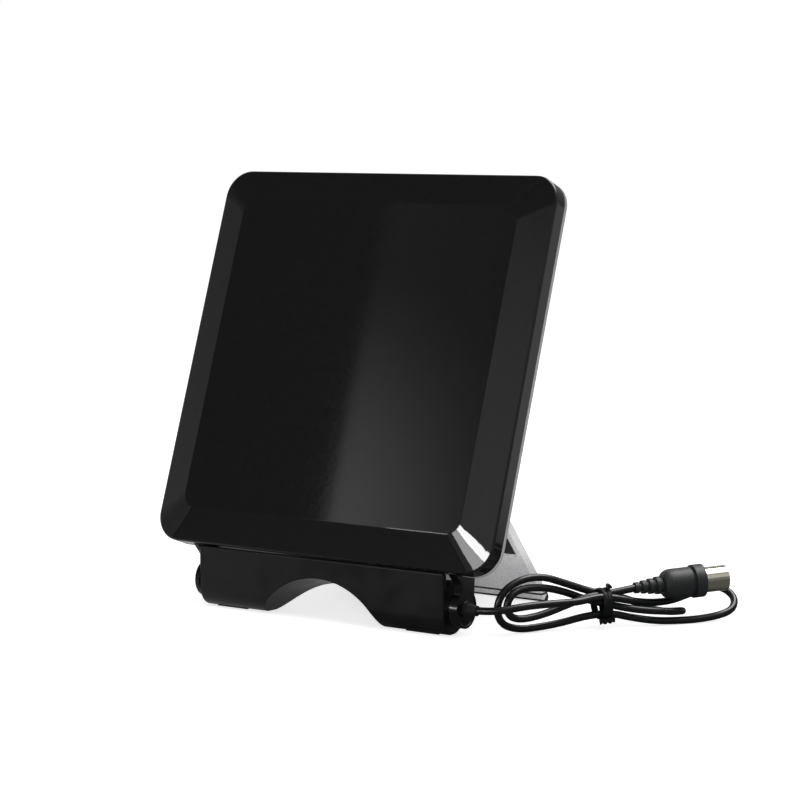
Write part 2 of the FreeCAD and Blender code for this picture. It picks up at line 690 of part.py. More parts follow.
def foot_halves():
    """Front and rear halves of the foot bar, split through the tilt axis."""
    bore_r = TRUNNION_R + TILT_CLEARANCE
    chambers = foot_chambers()
    body = foot_body().cut(chambers)
    rib_x = FOOT_END - TRUNNION_L + SPACER_T
    wall = FOOT_WALL / 2
    for side in (-1, 1):
        rib = block(side * rib_x - wall, side * rib_x + wall, -STANCE, STANCE, 0, 2 * BARREL_R)
        body = body.fuse(rib.common(chambers))
        bore_start = V(side * FOOT_END, TILT_AXIS.y, TILT_AXIS.z)
        body = body.cut(rod(bore_r, bore_start, V(-side, 0, 0), TRUNNION_L + SPACER_T))
        body = body.cut(pad_block(side))
    for x in foot_screw_places():
        boss = rod(FOOT_BOSS_R, V(x, TILT_AXIS.y - BARREL_R, FOOT_SCREW_Z), AXIS_Y, 2 * BARREL_R)
        body = body.fuse(boss.common(chambers))
    rear_space = block(-FOOT_LENGTH, FOOT_LENGTH, TILT_AXIS.y, STANCE, -BARREL_R, 2 * PLATE_TOP_AHEAD)
    front = body.cut(rear_space)
    rear = body.common(rear_space)
    for x in foot_screw_places():
        axis_point = V(x, TILT_AXIS.y, FOOT_SCREW_Z)
        front = front.cut(rod(FOOT_SCREW_R, axis_point - AXIS_Y * FOOT_SCREW_BITE, AXIS_Y, FOOT_SCREW_BITE))
        rear = rear.cut(rod(FOOT_SCREW_R + SCREW_HOLE_GAP, axis_point, AXIS_Y, BARREL_R))
        seat = axis_point + AXIS_Y * foot_screw_seat()
        rear = rear.cut(rod(FOOT_SCREW_HEAD_R + SCREW_HOLE_GAP, seat, AXIS_Y, BARREL_R))
    return front, rear


def foot_screw_places():
    """X of the two screws of the foot bar."""
    x = FOOT_END - FOOT_SCREW_INSET
    return (-x, x)


def foot_screw_seat():
    """Depth of the screw heads' seat behind the split."""
    surface = math.sqrt(BARREL_R ** 2 - (FOOT_SCREW_Z + FOOT_SCREW_HEAD_R - BARREL_R) ** 2)
    return surface - FOOT_SCREW_HEAD_H - FOOT_SCREW_R


def foot_screws():
    """Two screws, put in from behind, that close the foot bar."""
    solids = []
    for x in foot_screw_places():
        seat = V(x, TILT_AXIS.y + foot_screw_seat(), FOOT_SCREW_Z)
        length = foot_screw_seat() + FOOT_SCREW_BITE
        shank = rod(FOOT_SCREW_R, seat - AXIS_Y * length, AXIS_Y, length)
        solids.append(shank.fuse(rod(FOOT_SCREW_HEAD_R, seat, AXIS_Y, FOOT_SCREW_HEAD_H)))
    return Part.makeCompound(solids)


def foot_pads():
    """Rubber pads let into both ends of the foot bar, flat on the table."""
    return Part.makeCompound([pad_block(-1), pad_block(1)])


def spacer_ring(thickness):
    """Ring between the foot bar's right end and a knuckle."""
    start = V(FOOT_END + SPACER_GAP, TILT_AXIS.y, TILT_AXIS.z)
    ring = rod(SPACER_R, start, AXIS_X, thickness)
    return ring.cut(rod(TRUNNION_R + TILT_CLEARANCE, start, AXIS_X, thickness))


def tilt_spacers():
    """Steel spacer rings between the foot bar's ends and the knuckles."""
    return Part.makeCompound([spacer_ring(SPACER_T), mirrored(spacer_ring(LEFT_SPACER_T))])


def leg_insert_size():
    """Half width, near end and far end of the black insert."""
    return LEG_W / 2 - LEG_SIDE_WALL, LEG_ROOT_BAR, LEG_LENGTH - LEG_BAND


def leg_shell():
    """Prop leg: a tray with side walls, a root bar with notches for the lugs and a plain lower band."""
    half = LEG_W / 2
    end = LEG_LENGTH + LEG_R - TIP_L
    body = block(-half, half, 0, end, -LEG_R, LEG_R)
    body = body.fuse(rod(LEG_R, V(-half, 0, 0), AXIS_X, LEG_W))
    inner_x, near, far = leg_insert_size()
    body = body.cut(block(-inner_x, inner_x, near, far, -LEG_R, LEG_R - LEG_SKIN))
    for x in (-LEG_LUG_X, LEG_LUG_X):
        reach = LEG_LUG_T / 2 + LEG_LUG_GAP
        notch_end = LEG_LUG_R + LEG_LUG_GAP
        body = body.cut(block(x - reach, x + reach, -LEG_T, notch_end, -LEG_T, LEG_T))
    bore_l = 2 * LEG_LUG_X
    body = body.cut(rod(LEG_PIN_R + LEG_PIN_CLEARANCE, V(-LEG_LUG_X, 0, 0), AXIS_X, bore_l))
    return seat_leg(body)


def leg_insert():
    """Black plate let into the leg's tray."""
    inner_x, near, far = leg_insert_size()
    x = inner_x - INSERT_GAP
    top = LEG_R - LEG_SKIN
    return seat_leg(block(-x, x, near + INSERT_GAP, far - INSERT_GAP, top - INSERT_T, top))


def leg_tip():
    """Soft strip along the leg's lower edge, round where it meets the table."""
    half = LEG_W / 2
    start = LEG_LENGTH + LEG_R - TIP_L
    strip = rod(LEG_R, V(-half, LEG_LENGTH, 0), AXIS_X, LEG_W)
    return seat_leg(strip.common(block(-half, half, start, start + LEG_T, -LEG_T, LEG_T)))


def hank_frame(shape):
    """Move a piece from the hank's own frame (X along the hank, Z up) to its place beside the foot."""
    placed = shape.copy()
    placed.rotate(V(0, 0, 0), AXIS_Z, HANK_AZIMUTH)
    placed.translate(HANK_PLACE)
    return placed


# Outer shape of the hank as along, up: left lobe, waist under the tie, right lobe
HANK_OUTLINE = [(-44, 8), (-40, 16), (-30, 21.5), (-18, 21), (-8, 16.5), (-3, HANK_WAIST_HIGH),
                (3, HANK_WAIST_HIGH), (10, 8.2), (30, 7.4), (44, 8), (50, 9), (52, 6), (47, 1), (35, 0.2),
                (14, 0.4), (3, HANK_WAIST_LOW), (-3, HANK_WAIST_LOW), (-14, 0.4), (-30, 0.2), (-41, 2.5)]


def cord_hank():
    """Outer shape of the tied hank."""
    points = [V(s, -HANK_T / 2, z) for s, z in HANK_OUTLINE]
    wire = Part.makePolygon(points + points[:1])
    return hank_frame(prism(wire, HANK_T))


def cord_tie():
    """Band round the hank's waist."""
    half = HANK_T / 2
    outer = block(-TIE_L / 2, TIE_L / 2, -half - TIE_WALL, half + TIE_WALL,
                  HANK_WAIST_LOW - TIE_WALL, HANK_WAIST_HIGH + TIE_WALL)
    inner = block(-TIE_L / 2, TIE_L / 2, -half, half, HANK_WAIST_LOW, HANK_WAIST_HIGH)
    return hank_frame(outer.cut(inner))


# Route of the cord from the knuckle to the hank, as steps from its exit chosen by hand
CORD_STEPS = [(0, 0, 0), (CORD_STRAIGHT, 0, 0), (18.95, 7.5, 2.0), (25.95, 17.5, 2.2), (29.95, 27.5, 1.4)]
CORD_ROUTE = [CORD_EXIT + V(*step) for step in CORD_STEPS]


def cord_radii(points):
    """Arc radius at each inner point: as large as its two runs allow."""
    radii = []
    for i in range(1, len(points) - 1):
        before = points[i] - points[i - 1]
        after = points[i + 1] - points[i]
        turn = before.getAngle(after)
        radii.append(CORD_RUN_SHARE * min(before.Length, after.Length) / math.tan(turn / 2))
    print("cord radii", ["%.1f" % r for r in radii])
    return radii


def plug_point(along):
    """Point on the plug's axis, in the hank's frame."""
    rise = math.radians(PLUG_RISE_DEG)
    return V(PLUG_START + along * math.cos(rise), 0, PLUG_Z + along * math.sin(rise))


def plug_direction():
    """Direction of the plug's axis, in the hank's frame."""
    return (plug_point(1) - plug_point(0)).normalize()


def plug_revolve(profile):
    """Turned piece of the plug from (along, radius) points."""
    wire = Part.makePolygon([V(s, 0, r) for s, r in profile + profile[:1]])
    solid = Part.Face(wire).revolve(V(0, 0, 0), AXIS_X, 360)
    solid.rotate(V(0, 0, 0), AXIS_Y, -PLUG_RISE_DEG)
    solid.translate(plug_point(0))
    return hank_frame(solid)


def plug_body():
    """Moulded plug body with its ribbed strain relief, rounded shoulder and front flange."""
    profile = [(0, 0)]
    pitch = RELIEF_L / RELIEF_RIBS
    for i in range(RELIEF_RIBS):
        radius = RELIEF_R_SMALL + (RELIEF_R_LARGE - RELIEF_R_SMALL) * i / (RELIEF_RIBS - 1)
        groove = radius - CORD_R / 2
        rib_end = (i + RELIEF_RIB_SHARE) * pitch
        profile += [(i * pitch, radius), (rib_end, radius), (rib_end, groove), ((i + 1) * pitch, groove)]
    for i in range(PLUG_SHOULDER_STEPS + 1):
        angle = math.pi / 2 * i / PLUG_SHOULDER_STEPS
        along = RELIEF_L + PLUG_SHOULDER_L * (1 - math.cos(angle))
        profile.append((along, PLUG_SHOULDER_R + (PLUG_BODY_R - PLUG_SHOULDER_R) * math.sin(angle)))
    end = RELIEF_L + PLUG_BODY_L
    flange = end - PLUG_FLANGE_L
    groove_start = flange - PLUG_GROOVE_L
    groove_r = PLUG_BODY_R - PLUG_GROOVE_DEPTH
    seat = end - PLUG_SHELL_SEAT
    profile += [(groove_start, PLUG_BODY_R), (groove_start, groove_r), (flange, groove_r)]
    profile += [(flange, PLUG_FLANGE_R), (end, PLUG_FLANGE_R), (end, PLUG_SEAT_R)]
    profile += [(seat, PLUG_SEAT_R), (seat, 0)]
    return plug_revolve(profile)


def plug_shell():
    """Nickel outer contact of the plug, on a narrower seat inside the body."""
    start = RELIEF_L + PLUG_BODY_L - PLUG_SHELL_SEAT
    step = RELIEF_L + PLUG_BODY_L + PLUG_NECK_L
    end = RELIEF_L + PLUG_BODY_L + PLUG_SHELL_L
    inside = PLUG_SHELL_R - PLUG_SHELL_WALL
    seat_inside = PLUG_SEAT_R - PLUG_SHELL_WALL
    inner_step = step + PLUG_SHELL_WALL
    profile = [(start, seat_inside), (inner_step, seat_inside), (inner_step, inside), (end, inside)]
    profile += [(end, PLUG_SHELL_R), (step, PLUG_SHELL_R), (step, PLUG_SEAT_R), (start, PLUG_SEAT_R)]
    return plug_revolve(profile)


def plug_insulator():
    """Disc inside the shell that carries the pin."""
    start = RELIEF_L + PLUG_BODY_L - PLUG_SHELL_SEAT
    inside = PLUG_SEAT_R - PLUG_SHELL_WALL
    end = start + PLUG_INSULATOR_L
    return plug_revolve([(start, PLUG_PIN_R), (end, PLUG_PIN_R), (end, inside), (start, inside)])


def plug_pin():
    """Centre pin of the plug, with a rounded nose."""
    start = RELIEF_L + PLUG_BODY_L - PLUG_SHELL_SEAT
    end = start + PLUG_INSULATOR_L + PLUG_PIN_L
    nose = PLUG_PIN_R / 2
    return plug_revolve([(start, 0), (start, PLUG_PIN_R), (end - nose, PLUG_PIN_R), (end, nose), (end, 0)])


def cord_tail():
    """Short end of the cord from the hank's waist to the plug."""
    length = PLUG_START - TIE_L
    return hank_frame(rod(CORD_R, plug_point(-length), plug_direction(), length))


def main():
    """Build and write every node."""
    os.makedirs("parts", exist_ok=True)
    right_arm = hinge_arm(ARM_INNER, ARM_OUTER, SPACER_T)
    left_arm = hinge_arm(LEFT_INNER, LEFT_OUTER, LEFT_SPACER_T)
    right_element = element_right()
    foot_front, foot_rear = foot_halves()
    nodes = {
        "front_cover": front_cover(),
        "rear_cover": rear_cover(),
        "cover_screws": cover_screws(),
        "hinge_arm_right": seat_panel(right_arm.cut(arm_channel())),
        "hinge_arm_left": seat_panel(mirrored(left_arm)),
        "arm_screws": arm_screws(),
        "antenna_board": antenna_board(),
        "element_right": seat_panel(right_element),
        "element_left": seat_panel(mirrored(right_element)),
        "matching_transformer": matching_transformer(),
        "lead_clip": lead_clip(),
        "panel_lead": panel_lead(),
        "cord_grommet": cord_grommet(),
        "leg_pins": leg_pins(),
        "leg_shell": leg_shell(),
        "leg_insert": leg_insert(),
        "leg_tip": leg_tip(),
        "foot_front": foot_front,
        "foot_rear": foot_rear,
        "foot_screws": foot_screws(),
        "foot_pads": foot_pads(),
        "tilt_spacers": tilt_spacers(),
        "cord_lead": tube(CORD_ROUTE, cord_radii(CORD_ROUTE), CORD_R),
        "cord_hank": cord_hank(),
        "cord_tie": cord_tie(),
        "cord_tail": cord_tail(),
        "plug_body": plug_body(),
        "plug_shell": plug_shell(),
        "plug_insulator": plug_insulator(),
        "plug_pin": plug_pin(),
    }
    for name, shape in nodes.items():
        save(name, shape)
        facts = (name, len(shape.Solids), shape.isValid(), shape.Volume)
        print("%-20s solids %d valid %s volume %.1f" % facts)
    print("tilt axis", TILT_AXIS, "leg pivot", LEG_PIVOT, "fold", LEG_FOLD_DEG, "leg length", LEG_LENGTH)
    print("plug end", hank_frame(Part.Vertex(plug_point(RELIEF_L + PLUG_BODY_L))).Point, "exit", CORD_EXIT)


main()
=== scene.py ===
"""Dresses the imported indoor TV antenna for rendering.

It gives the moulded pieces their finishes, winds the tie, lays the tied cord and sets the stage.
"""

import math

import bpy
from mathutils import Matrix, Vector


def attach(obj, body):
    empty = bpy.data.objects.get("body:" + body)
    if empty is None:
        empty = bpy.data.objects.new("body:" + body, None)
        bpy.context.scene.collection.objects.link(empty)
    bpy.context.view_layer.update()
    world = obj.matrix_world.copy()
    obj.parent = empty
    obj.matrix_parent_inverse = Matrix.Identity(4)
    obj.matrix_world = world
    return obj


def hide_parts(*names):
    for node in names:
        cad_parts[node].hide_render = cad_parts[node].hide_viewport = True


bl_info = {
    "name": "Indoor TV Antenna",
    "version": (1, 0, 0),
    "blender": (4, 5, 0),
    "location": "View3D > Sidebar > Antenna",
    "description": "Finishes, cord and stage for a flat indoor TV antenna on a folding leg",
    "category": "Object",
}

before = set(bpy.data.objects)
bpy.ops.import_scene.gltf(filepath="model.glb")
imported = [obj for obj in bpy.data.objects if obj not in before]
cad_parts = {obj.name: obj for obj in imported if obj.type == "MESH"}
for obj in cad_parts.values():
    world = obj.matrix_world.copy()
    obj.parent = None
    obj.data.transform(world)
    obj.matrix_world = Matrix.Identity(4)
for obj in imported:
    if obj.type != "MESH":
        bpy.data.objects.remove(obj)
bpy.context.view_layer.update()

# Cord, as the part's source routes it: from the knuckle along the hank's front
LEAD_ROUTE = (
    (0.06110, -0.03197, 0.0100),
    (0.07110, -0.03197, 0.0100),
    (0.08005, -0.02447, 0.0120),
    (0.08705, -0.01447, 0.0122),
    (0.09105, -0.00447, 0.0114),
)
# Tied hank: its own frame stands on the table, first along it, then away from the viewer, then up
HANK_PLACE = Vector((0.0965, 0.01003, 0.0))
HANK_TURN = math.radians(49.7)
HANK_TURNS = (
    # over the tie
    (-0.0060, -0.0032, 0.0125), (0.0000, -0.0028, 0.0119),
    # right outer loop, out behind the plug and back along the table
    (0.0090, -0.0018, 0.0097), (0.0180, 0.0010, 0.0081), (0.0270, 0.0047, 0.0077),
    (0.0360, 0.0088, 0.0090), (0.0450, 0.0104, 0.0112), (0.0503, 0.0087, 0.0104),
    (0.0527, 0.0045, 0.0074), (0.0503, 0.0003, 0.0042), (0.0450, -0.0014, 0.0025),
    (0.0360, -0.0020, 0.0015), (0.0270, -0.0020, 0.0014), (0.0180, -0.0016, 0.0018),
    (0.0090, -0.0010, 0.0034), (0.0000, -0.0004, 0.0056),
    # left outer loop, along the table and back over the top
    (-0.0090, 0.0008, 0.0048), (-0.0180, 0.0018, 0.0026), (-0.0270, 0.0014, 0.0016),
    (-0.0355, 0.0000, 0.0015), (-0.0426, -0.0016, 0.0040), (-0.0453, -0.0030, 0.0102),
    (-0.0426, -0.0026, 0.0165), (-0.0355, -0.0016, 0.0203), (-0.0265, 0.0000, 0.0208),
    (-0.0170, 0.0016, 0.0174), (-0.0080, 0.0026, 0.0140), (0.0000, 0.0028, 0.0118),
    # right inner loop
    (0.0080, 0.0050, 0.0098), (0.0160, 0.0085, 0.0062), (0.0230, 0.0096, 0.0032),
    (0.0282, 0.0075, 0.0028), (0.0305, 0.0025, 0.0040), (0.0282, -0.0025, 0.0052),
    (0.0220, -0.0046, 0.0057), (0.0130, -0.0044, 0.0065), (0.0060, -0.0022, 0.0074),
    (0.0000, 0.0010, 0.0086),
    # left inner loop
    (-0.0080, 0.0030, 0.0104), (-0.0170, 0.0022, 0.0142), (-0.0260, 0.0004, 0.0166),
    (-0.0350, -0.0016, 0.0170), (-0.0398, -0.0030, 0.0148), (-0.0416, -0.0036, 0.0108),
    (-0.0400, -0.0034, 0.0070), (-0.0350, -0.0024, 0.0056), (-0.0260, -0.0012, 0.0068),
    (-0.0170, -0.0005, 0.0096), (-0.0090, -0.0004, 0.0121), (-0.0010, 0.0000, 0.0127),
    # to the plug
    (0.0045, 0.0000, 0.0135), (0.0105, 0.0000, 0.01433),
)
# Fineness of the cord along its route and round its section
CORD_STEPS = 8
CORD_ROUND_STEPS = 5

# Twist tie round the hank's waist, in the hank's own frame
TIE_NAME = "twist_tie"
TIE_MID_Z = 0.0092
# Each wind's place along the hank and its skew in degrees
TIE_WINDS = ((-0.0034, 8.0), (-0.0012, -6.0))
TIE_WIND_SEGMENTS = 48
TIE_RIBBON_SEGMENTS = 12
# The ribbon's width over its thickness, and the share of its half thickness that stays at mid height
TIE_RIBBON_WIDTH = 1.7
TIE_STILL_SHARE = 0.1
# Each twisted end's base along, across and above, its length, and its lean along and across in degrees
TIE_ENDS = (
    ((-0.0018, -0.0014, 0.0142), 0.0028, 28.0, 12.0),
    ((-0.0052, -0.0036, 0.0034), 0.0060, 84.0, 6.0),
)
TIE_END_SIDES = 16
TIE_END_STEP = 0.0004
TIE_TWIST = math.radians(38.0)
# An end's thickness over its width, and its tip over its root
TIE_END_FLAT = 0.55
TIE_END_TAPER = 0.6
TIE_SMOOTH_ANGLE = math.radians(50.0)

# Finishes
SHADER = "Principled BSDF"
# Middle of a noise, where most of its values lie
NOISE_SPAN = (0.3, 0.7)
# Rays that round a moulded edge
EDGE_SAMPLES = 6
# Depth of the black moulding's texture for its roughness
MOULD_RELIEF = 0.0001
# Painted shade of a groove across the leg's lower end: a near-black line on the silver, in the rest pose
LEG_GROOVE_Z = 0.0036
LEG_GROOVE_W = 0.0009
LEG_GROOVE_SHADE = (0.012, 0.012, 0.012, 1)

# Table, lifted to white for the camera
WHITE = (1, 1, 1, 1)
FLOOR_SIZE = 80.0
FLOOR_DROP = 0.0001
FLOOR_WHITE = (0.94, 0.94, 0.94, 1)
FLOOR_ROUGHNESS = 0.8
FLOOR_LIFT = 0.62
# As gloss sees the table: unlit in front of the antenna, bright behind it and to its left
FLOOR_IN_GLOSS = (0.16, 0.16, 0.16, 1)
FLOOR_AWAY = (-0.707, 0.707, 0.0)
FLOOR_AWAY_SPAN = (-0.05, 0.02)
FLOOR_GLOSS_LIFT = 0.45

# Studio, as gloss sees it: the unlit side from its edge to its core, as cosines of the angle from its middle
DARK_SIDE_SPAN = (0.52, 0.88)
# Where the left side gives way to the dim open side
OPEN_SIDE_SPAN = (-0.70, -0.20)
# The far window's glow: direction across its edge, where it starts, fades and rises to
GLOW_ACROSS = (0.828, -0.527, 0.193)
GLOW_EDGE = (-0.0015, 0.0025)
GLOW_FADE = (-0.010, 0.085)
GLOW_RISE = (0.400, 0.500)
GLOW_TOP = 0.08
# Halo round the corner lamp, as cosines of the angle from it
HALO_WAY = (-0.020, -0.907, 0.420)
HALO_SPAN = (0.968, 0.9985)
# Lamps: name, place, size, the setting of the power and the share of it, lights dull surfaces, shows in gloss
LAMPS = (
    ("overhead_light", (0.40, -0.10, 1.25), 0.9, "key_power", 1, True, True),
    ("side_light", (1.1, -0.2, 0.7), 0.6, "side_power", 1, True, True),
    ("low_fill", (0.75, -1.05, 0.12), 0.4, "fill_power", 1, True, False),
    ("corner_light", (-0.001, -0.611, 0.206), 0.085, "corner_power", 1, False, True),
    ("corner_glow", (-0.078, -0.613, 0.129), 0.11, "corner_power", 1 / 2, False, True),
    ("knuckle_light", (-0.249, -0.543, 0.132), 0.07, "corner_power", 1 / 3, False, True),
    ("rim_light", (0.28, 0.42, 0.95), 0.7, "rim_power", 1, False, True),
)
SENSOR_WIDTH = 36.0


class AntennaFinish(bpy.types.PropertyGroup):
    """Colours and gloss of the moulded pieces."""

    gloss_black: bpy.props.FloatVectorProperty(
        name="Gloss black", description="Colour of the panel's face",
        subtype="COLOR", size=3, default=(0.0042, 0.0042, 0.0044), min=0, max=1)
    satin_black: bpy.props.FloatVectorProperty(
        name="Satin black", description="Colour of the foot and hinge arms",
        subtype="COLOR", size=3, default=(0.0022, 0.0022, 0.0023), min=0, max=1)
    silver: bpy.props.FloatVectorProperty(
        name="Silver", description="Colour of the leg",
        subtype="COLOR", size=3, default=(0.66, 0.66, 0.67), min=0, max=1)
    # Painted shade: the leg's silver darkened for the panel's back, whose side rim lies in shade
    back_silver: bpy.props.FloatVectorProperty(
        name="Back silver", description="Colour of the panel's back",
        subtype="COLOR", size=3, default=(0.22, 0.22, 0.224), min=0, max=1)
    jacket: bpy.props.FloatVectorProperty(
        name="Cord jacket", description="Colour of the cord",
        subtype="COLOR", size=3, default=(0.0022, 0.0025, 0.0025), min=0, max=1)
    plug: bpy.props.FloatVectorProperty(
        name="Plug moulding", description="Colour of the moulded plug",
        subtype="COLOR", size=3, default=(0.0060, 0.0068, 0.0072), min=0, max=1)
    edge_radius: bpy.props.FloatProperty(
        name="Edge radius", description="Width over which a moulded edge catches the light",
        default=0.0005, min=0, unit="LENGTH")


class AntennaCord(bpy.types.PropertyGroup):
    """Sizes of the cord and its tie."""

    diameter: bpy.props.FloatProperty(
        name="Diameter", description="Diameter of the cord", default=0.0028, min=0.001, unit="LENGTH")
    tie_reach: bpy.props.FloatProperty(
        name="Tie reach", description="Half the width of the twist tie's winds",
        default=0.0052, min=0.001, unit="LENGTH")
    tie_rise: bpy.props.FloatProperty(
        name="Tie rise", description="How far the winds are drawn apart upwards and downwards",
        default=0.0006, min=0, unit="LENGTH")
    tie_wire: bpy.props.FloatProperty(
        name="Tie wire", description="Half the thickness of the tie's ribbon",
        default=0.00080, min=0.0001, unit="LENGTH")


class AntennaStage(bpy.types.PropertyGroup):
    """Camera and light."""

    eye: bpy.props.FloatVectorProperty(
        name="Camera place", description="Where the camera stands",
        subtype="TRANSLATION", size=3, default=(0.5100, -0.78057, 0.1881))
    tilt: bpy.props.FloatProperty(
        name="Camera tilt", description="How far the camera looks down",
        default=math.radians(6.64), subtype="ANGLE")
    turn: bpy.props.FloatProperty(
        name="Camera turn", description="How far the camera is turned about the vertical",
        default=math.radians(32.57), subtype="ANGLE")
    lens: bpy.props.FloatProperty(
        name="Lens", description="Focal length on a 36 mm sensor",
        default=110.25, min=10, subtype="DISTANCE_CAMERA")
    ambient: bpy.props.FloatProperty(
        name="Ambient", description="Strength of the light from all round", default=0.45, min=0)
    key_power: bpy.props.FloatProperty(
        name="Key power", description="Power of the large overhead light", default=5.0, min=0, unit="POWER")
    side_power: bpy.props.FloatProperty(
        name="Side power", description="Power of the light on the right", default=0.5, min=0, unit="POWER")
    corner_power: bpy.props.FloatProperty(
        name="Corner power", description="Power of the small low lamp that the panel's corner mirrors",
        default=0.65, min=0, unit="POWER")
    rim_power: bpy.props.FloatProperty(
        name="Rim power", description="Power of the lamp above and behind that the cord mirrors",
        default=16.0, min=0, unit="POWER")
    fill_power: bpy.props.FloatProperty(
        name="Fill power", description="Power of the low lamp on the right that reaches under the panel",
        default=20.0, min=0, unit="POWER")
    dark_side: bpy.props.FloatVectorProperty(
        name="Dark side", description="Direction of the unlit side of the studio, as gloss shows it",
        subtype="DIRECTION", size=3, default=(-0.450, -0.600, 0.661))
    dark_level: bpy.props.FloatProperty(
        name="Dark level", description="Brightness of the studio's unlit side in reflections",
        default=0.08, min=0)
    open_level: bpy.props.FloatProperty(
        name="Open level", description="Brightness of the open side in reflections", default=0.25, min=0)
    glow_level: bpy.props.FloatProperty(
        name="Glow level", description="Brightness of the far window in reflections", default=1.35, min=0)
    halo_level: bpy.props.FloatProperty(
        name="Halo level", description="Brightness of the corner lamp's halo in reflections",
        default=0.55, min=0)


def hank_to_world(point):
    """Place of a point given along, across and above the hank's own line."""
    return HANK_PLACE + Matrix.Rotation(HANK_TURN, 3, "Z") @ Vector(point)


def node_material(name):
    """The material of that name, packed or new, set to use nodes."""
    material = bpy.data.materials.get(name) or bpy.data.materials.new(name)
    material.use_nodes = True
    return material


def object_noise(tree, scale, detail):
    """Noise at a real size, fixed to the piece."""
    place = tree.nodes.new("ShaderNodeTexCoord")
    noise = tree.nodes.new("ShaderNodeTexNoise")
    noise.inputs["Scale"].default_value = scale
    noise.inputs["Detail"].default_value = detail
    tree.links.new(place.outputs["Object"], noise.inputs["Vector"])
    return noise.outputs["Fac"]


def rescale(tree, source, span, ends, smooth=False):
    """Maps a span of values to the range between two ends, which hold beyond the span."""
    node = tree.nodes.new("ShaderNodeMapRange")
    node.interpolation_type = "SMOOTHSTEP" if smooth else "LINEAR"
    node.inputs["From Min"].default_value = span[0]
    node.inputs["From Max"].default_value = span[1]
    node.inputs["To Min"].default_value = ends[0]
    node.inputs["To Max"].default_value = ends[1]
    tree.links.new(source, node.inputs["Value"])
    return node.outputs["Result"]


def reach_along(tree, source, direction):
    """How far a place or a direction reaches along a fixed direction."""
    node = tree.nodes.new("ShaderNodeVectorMath")
    node.operation = "DOT_PRODUCT"
    node.inputs[1].default_value = direction
    tree.links.new(source, node.inputs[0])
    return node.outputs["Value"]


def combine(tree, operation, first, second):
    """Joins two values by a sum, a product or the like."""
    node = tree.nodes.new("ShaderNodeMath")
    node.operation = operation
    tree.links.new(first, node.inputs[0])
    tree.links.new(second, node.inputs[1])
    return node.outputs[0]


def vary_colour(tree, source, colour, share):
    """Lets the base colour drift a little about its value."""
    ramp = tree.nodes.new("ShaderNodeValToRGB")
    for stop, place, level in zip(ramp.color_ramp.elements, NOISE_SPAN, (1 - share, 1 + share)):
        stop.position = place
        stop.color = (*(c * level for c in colour), 1)
    tree.links.new(source, ramp.inputs["Fac"])
    tree.links.new(ramp.outputs["Color"], tree.nodes[SHADER].inputs["Base Color"])


def soften(tree, source, depth, edge_radius):
    """Fine surface relief, on rounded edges where a radius is given."""
    bump = tree.nodes.new("ShaderNodeBump")
    bump.inputs["Strength"].default_value = 1.0
    bump.inputs["Distance"].default_value = depth
    tree.links.new(source, bump.inputs["Height"])
    if edge_radius:
        edge = tree.nodes.new("ShaderNodeBevel")
        edge.samples = EDGE_SAMPLES
        edge.inputs["Radius"].default_value = edge_radius
        tree.links.new(edge.outputs["Normal"], bump.inputs["Normal"])
    tree.links.new(bump.outputs["Normal"], tree.nodes[SHADER].inputs["Normal"])


def grained_finish(
        name, colour, scale, detail, drift, rough, relief=None, edge_radius=0, metallic=None, specular=None):
    """A finish whose colour, roughness and relief follow one noise that is fixed to the piece."""
    material = node_material(name)
    tree = material.node_tree
    shader = tree.nodes[SHADER]
    grain = object_noise(tree, scale, detail)
    vary_colour(tree, grain, colour, drift)
    tree.links.new(rescale(tree, grain, NOISE_SPAN, rough), shader.inputs["Roughness"])
    if relief is not None:
        soften(tree, grain, relief, edge_radius)
    if metallic is not None:
        shader.inputs["Metallic"].default_value = metallic
    if specular is not None:
        shader.inputs["Specular IOR Level"].default_value = specular
    return material


def gloss_black_plastic(finish):
    """Polished black panel moulding with a faint ripple."""
    material = grained_finish(
        "gloss_black_plastic", finish.gloss_black, scale=700.0, detail=2.0, drift=0.15, rough=(0.03, 0.05),
        specular=0.40)
    tree = material.node_tree
    ripple = object_noise(tree, scale=90.0, detail=2.0)
    soften(tree, ripple, depth=0.000003, edge_radius=finish.edge_radius)
    return material


def moulded_black(name, finish, low, high):
    """Black moulding with a fine texture, between two roughness values."""
    material = grained_finish(
        name, finish.satin_black, scale=120.0, detail=2.0, drift=0.2, rough=(low, high), specular=0.35)
    tree = material.node_tree
    texture = object_noise(tree, scale=2600.0, detail=4.0)
    soften(tree, texture, depth=low * MOULD_RELIEF, edge_radius=finish.edge_radius)
    return material


def satin_black_plastic(finish):
    """Lightly textured black of the foot."""
    return moulded_black("satin_black_plastic", finish, low=0.30, high=0.40)


def smooth_black_plastic(finish):
    """Smoother black of the hinge arms."""
    return moulded_black("smooth_black_plastic", finish, low=0.12, high=0.16)


def flecked_silver(name, colour, edge_radius):
    """Silver moulding with a fine metallic fleck under the surface."""
    return grained_finish(
        name, colour, scale=2000.0, detail=4.0, drift=0.24, rough=(0.38, 0.50), relief=0.000012,
        edge_radius=edge_radius, metallic=0.06, specular=0.25)


